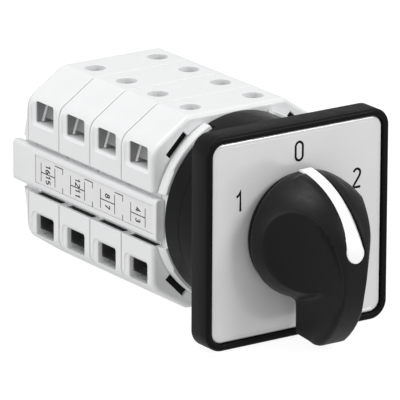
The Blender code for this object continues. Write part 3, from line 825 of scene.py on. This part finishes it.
def make_lower_guide(name, sx, middle, mats):
    """Hollow guide inside a lower wire entry, in the clamp metal darkened with painted shade."""
    guide = box(sx * 27.9, sx * 20.0, middle - 4.45, middle + 4.45, -19.0, -14.3)
    guide = new_object(f"guide_{name}_lower", guide, mats["clamp_metal_in_painted_shade"])
    low, high = sorted((sx * 30, sx * 23.5))
    cut(guide, prism_x(entry_outline(-1, middle, 4.2, 14.1, 18.75, 1.5), low, high))
    round_edges(guide, 0.08)
    piece(guide, "body", "terminal_metal")


def make_entry_guides(mats):
    """Bent metal guides that show inside the wire entries."""
    for i in range(CHAMBERS):
        middle = STACK_FRONT + (i + 0.5) * PITCH
        for side, sx in (("left", -1), ("right", 1)):
            make_upper_guide(f"{i + 1}_{side}", sx, middle, mats)
            make_lower_guide(f"{i + 1}_{side}", sx, middle, mats)


def make_rear_cover(mats):
    """Tapering end of the stack, with a boss round each tie bolt."""
    start, end = COVER_LOW.y, COVER_HIGH.y
    rings = []
    levels = ((0.3, 0.3, start), (0.1, 0.4, start + 0.2), (0.3, 2.2, start + 0.7), (0.7, 7.5, start + 1.7),
              (2.2, 19.0, end - 0.3), (2.7, 20.0, end))
    for inset, lower, y in levels:
        x, z = CHAMBER_HIGH.x - inset, CHAMBER_HIGH.z - lower
        share = z / CHAMBER_HIGH.z
        sx = x - share * (CHAMBER_HIGH.x - SHOULDER_X)
        sz = share * SHOULDER_Z
        corners = [(x, -sz), (x, sz), (sx, z), (-sx, z), (-x, sz), (-x, -sz), (-sx, -z), (sx, -z)]
        soft = 5.0 * share
        outline = rounded_polygon(corners, [soft, soft, 0.6 * soft, 0.6 * soft] * 2, 7)
        rings.append([(px, y, pz) for px, pz in outline])
    obj = new_object("cover_moulding", loft(rings), mats["white_moulding"])
    for z in (-BOLT_Z, BOLT_Z):
        combine(obj, "UNION", [cylinder_y(4.9, start + 0.6, end - 0.9, (0, z), 48)])
    cut(obj, cylinder_y(SHAFT_HOLE, start - 1, start + 2.4, steps=40))
    for side in (-1, 1):
        cut(obj, box(side * CHANNEL_FLOOR, side * 35, 80, 100, -CHANNEL_HALF, CHANNEL_HALF))
        place = (0, side * BOLT_Z)
        cut(obj, cylinder_y(BOLT_HOLE, 80, 100, place, 24), cylinder_y(BOLT_HEAD_HOLE, 92.4, 100, place, 40))
    round_edges(obj, 0.2, angle=12)
    even_normals(obj)
    piece(obj, "body", "white_plastic", "rear_cover")


# Label bars -------------------------------------------------------------------------
def make_label_bar(name, side, mats):
    """Bar in the side groove, with a shallow pocket for the printed strip."""
    face, half = HOLDER_HIGH.x, HOLDER_HIGH.z - 0.2
    back = HOLDER_LOW.x
    front, rear = HOLDER_LOW.y, HOLDER_HIGH.y
    section = [(back, -half + 0.3), (face - 1.3, -half)]
    section += [(face - 1.2 + 1.2 * math.cos(a), -half + 1.2 + 1.2 * math.sin(a))
                for a in [math.radians(-80 + 16 * i) for i in range(6)]]
    section += [(x, -z) for x, z in section[::-1]]
    rings = []
    levels = ((0.25, front), (0.0, front + 0.25), (0.0, rear - 0.6), (0.2, rear - 0.15), (0.55, rear))
    for shrink, y in levels:
        rings.append([(side * (x - shrink * (x > back + 1)), y, z * (1 - shrink / half)) for x, z in section])
    obj = new_object(f"label_bar_{name}", loft(rings), mats["white_moulding"])
    low, high = STRIP_LOW.y - 0.14, STRIP_HIGH.y - PRINT_SHORT + 0.14
    cut(obj, box(side * (face - 0.9), side * (face + 1), low, high, STRIP_LOW.z - 0.14, STRIP_HIGH.z + 0.14))
    round_edges(obj, 0.12)
    piece(obj, "body", "white_plastic", f"label_holder_{name}")


def make_label_strip(name, side, mats):
    """Printed strip: bars joined by a cross line and two numbers for each chamber."""
    low, high = STRIP_LOW, STRIP_HIGH
    strip = box(side * low.x, side * high.x, low.y, high.y - PRINT_SHORT, low.z, high.z)
    strip = new_object(f"strip_{name}", strip, mats["label_paper"])
    round_edges(strip, 0.08)
    piece(strip, "body", "label_paper", f"label_strip_{name}")
    face = high.x

    def on_strip(u, v, height):
        return (side * (face - 0.02 + height), u, v - 0.4)

    lines, digits = [], []
    for i in range(CHAMBERS):
        middle = STACK_FRONT + PITCH / 2 - 0.3 + i * PRINT_PITCH
        number = 4 * i + (3 if side < 0 else 1)
        for offset in (-MARK_SPREAD, MARK_SPREAD):
            lines.append(([(middle + offset, -2.9), (middle + offset, 2.9)], False))
        lines.append(([(middle - MARK_SPREAD, 0.0), (middle + MARK_SPREAD, 0.0)], False))
        for text, v in ((str(number + 1), 1.6), (str(number), -1.6)):
            for k, digit in enumerate(text):
                place = v + 0.78 * (len(text) - 1) - 1.56 * k
                for points, closed in numeral(digit):
                    quarter_turned = [(side * MARK_HEIGHT * y, -MARK_HEIGHT * x) for x, y in points]
                    digits.append(([(middle + along, place + up) for along, up in quarter_turned], closed))
        if i > 0:
            edge = middle - PRINT_PITCH / 2
            lines.append(([(middle - MARK_SPREAD, 3.75), (edge, 3.75), (edge, 2.0)], False))
            lines.append(([(edge, -3.8), (edge, -2.1)], False))
    bars = stroke(f"strip_lines_{name}", lines, 0.27, PRINT_LIFT, on_strip, mats["ink"])
    piece(bars, "body", "label_paper")
    marks = stroke(f"strip_numbers_{name}", digits, 0.38, PRINT_LIFT, on_strip, mats["ink"])
    piece(marks, "body", "label_paper")


# Carried-over nodes -----------------------------------------------------------------
def paint_carried_nodes(mats):
    finish = {"knob_screw": "zinc", "shaft": "zinc", "detent_wheel": "cam_natural", "tie_bolt_lower": "zinc",
              "tie_bolt_upper": "zinc"}
    for side in ("left", "right"):
        finish[f"detent_roller_{side}"] = "zinc"
        finish[f"detent_spring_{side}"] = "zinc"
    for i in range(1, 5):
        finish[f"panel_screw_{i}"] = "zinc"
        finish[f"cam_{i}"] = "cam_natural"
        for side in ("left", "right"):
            finish[f"contact_bridge_{i}_{side}"] = "copper"
    for i in range(1, 17):
        # even terminals get the clamp metal darkened with painted shade
        finish[f"terminal_{i}"] = "clamp_metal" if i % 2 else "clamp_metal_in_painted_shade"
    for node, mat in finish.items():
        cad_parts[node].data.materials[0] = mats[mat]


# Stage ------------------------------------------------------------------------------
def seen_and_lighting(tree, shown, lighting):
    """Mix of what the camera sees directly and what lights the object."""
    path = tree.nodes.new("ShaderNodeLightPath")
    mix = tree.nodes.new("ShaderNodeMixShader")
    tree.links.new(path.outputs["Is Camera Ray"], mix.inputs["Fac"])
    tree.links.new(lighting, mix.inputs[1])
    tree.links.new(shown, mix.inputs[2])
    return mix.outputs["Shader"]


def make_floor():
    mat = bpy.data.materials.new("floor_white")
    mat.use_nodes = True
    tree = mat.node_tree
    shader = tree.nodes["Principled BSDF"]
    shader.inputs["Base Color"].default_value = (0.22, 0.22, 0.22, 1.0)
    shader.inputs["Roughness"].default_value = 0.9
    shader.inputs["Specular IOR Level"].default_value = 0.0
    shader.inputs["Emission Color"].default_value = (1.0, 1.0, 1.0, 1.0)
    shader.inputs["Emission Strength"].default_value = 0.9
    dim = tree.nodes.new("ShaderNodeEmission")
    dim.inputs["Strength"].default_value = 0.66
    out = tree.nodes["Material Output"]
    mixed = seen_and_lighting(tree, shader.outputs["BSDF"], dim.outputs["Emission"])
    tree.links.new(mixed, out.inputs["Surface"])
    bm = bmesh.new()
    bmesh.ops.create_grid(bm, x_segments=1, y_segments=1, size=3000)
    bmesh.ops.translate(bm, vec=(0, 0, FRAME_LOW.z - 0.1), verts=bm.verts)
    new_object("floor", bm, mat)


def area_light(name, place, target, size, power):
    data = bpy.data.lights.new(name, "AREA")
    data.shape = "DISK"
    data.size = size
    data.energy = power
    obj = bpy.data.objects.new(name, data)
    bpy.context.scene.collection.objects.link(obj)
    obj.location = place
    obj.rotation_euler = (Vector(target) - Vector(place)).to_track_quat("-Z", "Y").to_euler()


def make_world():
    """White backdrop; the light itself comes mostly from the upper left."""
    world = bpy.data.worlds.new("studio")
    world.use_nodes = True
    tree = world.node_tree
    white = tree.nodes["Background"]
    white.inputs["Color"].default_value = (1.0, 1.0, 1.0, 1.0)
    white.inputs["Strength"].default_value = 1.0
    direction = tree.nodes.new("ShaderNodeTexCoord")
    lean = tree.nodes.new("ShaderNodeVectorMath")
    lean.operation = "DOT_PRODUCT"
    lean.inputs[1].default_value = Vector((-0.62, -0.2, 0.76)).normalized()
    tree.links.new(direction.outputs["Generated"], lean.inputs[0])
    level = tree.nodes.new("ShaderNodeMapRange")
    level.inputs["From Min"].default_value = -0.1
    level.inputs["From Max"].default_value = 1.0
    level.inputs["To Min"].default_value = 0.54
    level.inputs["To Max"].default_value = 0.88
    tree.links.new(lean.outputs["Value"], level.inputs["Value"])
    soft = tree.nodes.new("ShaderNodeBackground")
    tree.links.new(level.outputs["Result"], soft.inputs["Strength"])
    surface_in = tree.nodes["World Output"].inputs["Surface"]
    tree.links.new(seen_and_lighting(tree, white.outputs[0], soft.outputs[0]), surface_in)
    bpy.context.scene.world = world


def make_light():
    make_world()
    target = (0, 0.03, 0)
    area_light("key_left", (-0.8, 0.15, 0.3), target, 0.6, 1.8)
    area_light("front_right", (0.5, -0.7, 0.5), target, 0.35, 4.4)
    area_light("overhead", (-0.15, 0.2, 0.88), target, 0.4, 2.4)


def make_camera():
    """Long lens, to the front left and a little above, looking parallel to a line past the shaft."""
    turn, rise, roll = math.radians(34.57), math.radians(17.12), math.radians(0.26)
    distance, focal = 1.698, 528.7
    side, height = 0.02385, -0.00671     # where the shaft's origin stands off the view axis
    back = Vector((-math.sin(turn) * math.cos(rise), -math.cos(turn) * math.cos(rise), math.sin(rise)))
    right = (-back).cross(Vector((0, 0, 1))).normalized()
    up = right.cross(-back)
    across = right * math.cos(roll) + up * math.sin(roll)
    above = up * math.cos(roll) - right * math.sin(roll)
    data = bpy.data.cameras.new("camera")
    data.lens = focal
    data.sensor_width = 36.0
    data.clip_start = 0.1
    data.clip_end = 20.0
    obj = bpy.data.objects.new("camera", data)
    bpy.context.scene.collection.objects.link(obj)
    basis = Matrix((across, above, back)).transposed().to_4x4()
    basis.translation = back * distance - across * side - above * height
    obj.matrix_world = basis
    bpy.context.scene.camera = obj


def main():
    bpy.context.scene.view_settings.view_transform = "Standard"
    make_camera()
    mats = make_materials()
    make_knob(mats)
    make_frame(mats)
    make_legend(mats)
    make_housing(mats)
    make_flange(mats)
    make_chambers(mats)
    make_latches(mats)
    make_bar_clips(mats)
    make_entry_guides(mats)
    make_rear_cover(mats)
    for name, side in (("left", -1), ("right", 1)):
        make_label_bar(name, side, mats)
        make_label_strip(name, side, mats)
    paint_carried_nodes(mats)
    make_floor()
    make_light()


main()
